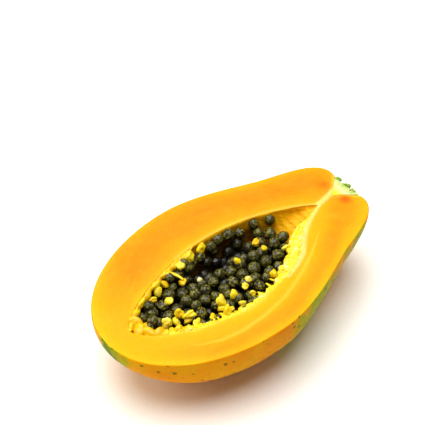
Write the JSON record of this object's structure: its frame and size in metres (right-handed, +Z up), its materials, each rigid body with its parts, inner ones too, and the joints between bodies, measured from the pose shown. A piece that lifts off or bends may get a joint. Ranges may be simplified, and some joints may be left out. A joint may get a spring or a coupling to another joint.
{
  "type": "papaya half",
  "caption": "Ripe papaya cut in half lengthwise, lying skin down with a level cut face, its cavity filled with dark round seeds and a few pale unfilled ones.",
  "frame": {"origin": "on the resting surface, under the middle of the part's box", "axes": "+X from the blossom end to the stalk end along the core, +Z up and square to the level cut face, +Y across the face to the side that the cavity lies further from"},
  "size_m": [0.1556, 0.0946, 0.0407],
  "materials": {
    "flesh": "moist cut flesh under a smooth yellow skin",
    "stalk": "dry fibrous scar",
    "seed": "wet wrinkled seed coat",
    "ovule": "wet pale flesh"
  },
  "bodies": {
    "root": {"fruit_half": "flesh", "stalk_stub": "stalk", "lower_seeds": "seed", "seed_01": "seed", "seed_02": "seed", "seed_03": "seed", "seed_04": "seed", "seed_05": "seed", "seed_06": "seed", "seed_07": "seed", "seed_08": "seed", "seed_09": "seed", "seed_10": "seed", "seed_11": "seed", "seed_12": "seed", "seed_13": "seed", "seed_14": "seed", "seed_15": "seed", "seed_16": "seed", "seed_17": "seed", "seed_18": "seed", "seed_19": "seed", "seed_20": "seed", "seed_21": "seed", "seed_22": "seed", "seed_23": "seed", "seed_24": "seed", "seed_25": "seed", "seed_26": "seed", "seed_27": "seed", "seed_28": "seed", "seed_29": "seed", "seed_30": "seed", "seed_31": "seed", "seed_32": "seed", "seed_33": "seed", "seed_34": "seed", "seed_35": "seed", "seed_36": "seed", "seed_37": "seed", "seed_38": "seed", "seed_39": "seed", "seed_40": "seed", "seed_41": "seed", "seed_42": "seed", "seed_43": "seed", "seed_44": "seed", "seed_45": "seed", "seed_46": "seed", "pale_ovule_01": "ovule", "pale_ovule_02": "ovule", "pale_ovule_03": "ovule", "pale_ovule_04": "ovule", "pale_ovule_05": "ovule", "pale_ovule_06": "ovule", "pale_ovule_07": "ovule", "pale_ovule_08": "ovule", "pale_ovule_09": "ovule", "pale_ovule_10": "ovule"}
  },
  "joints": []
}
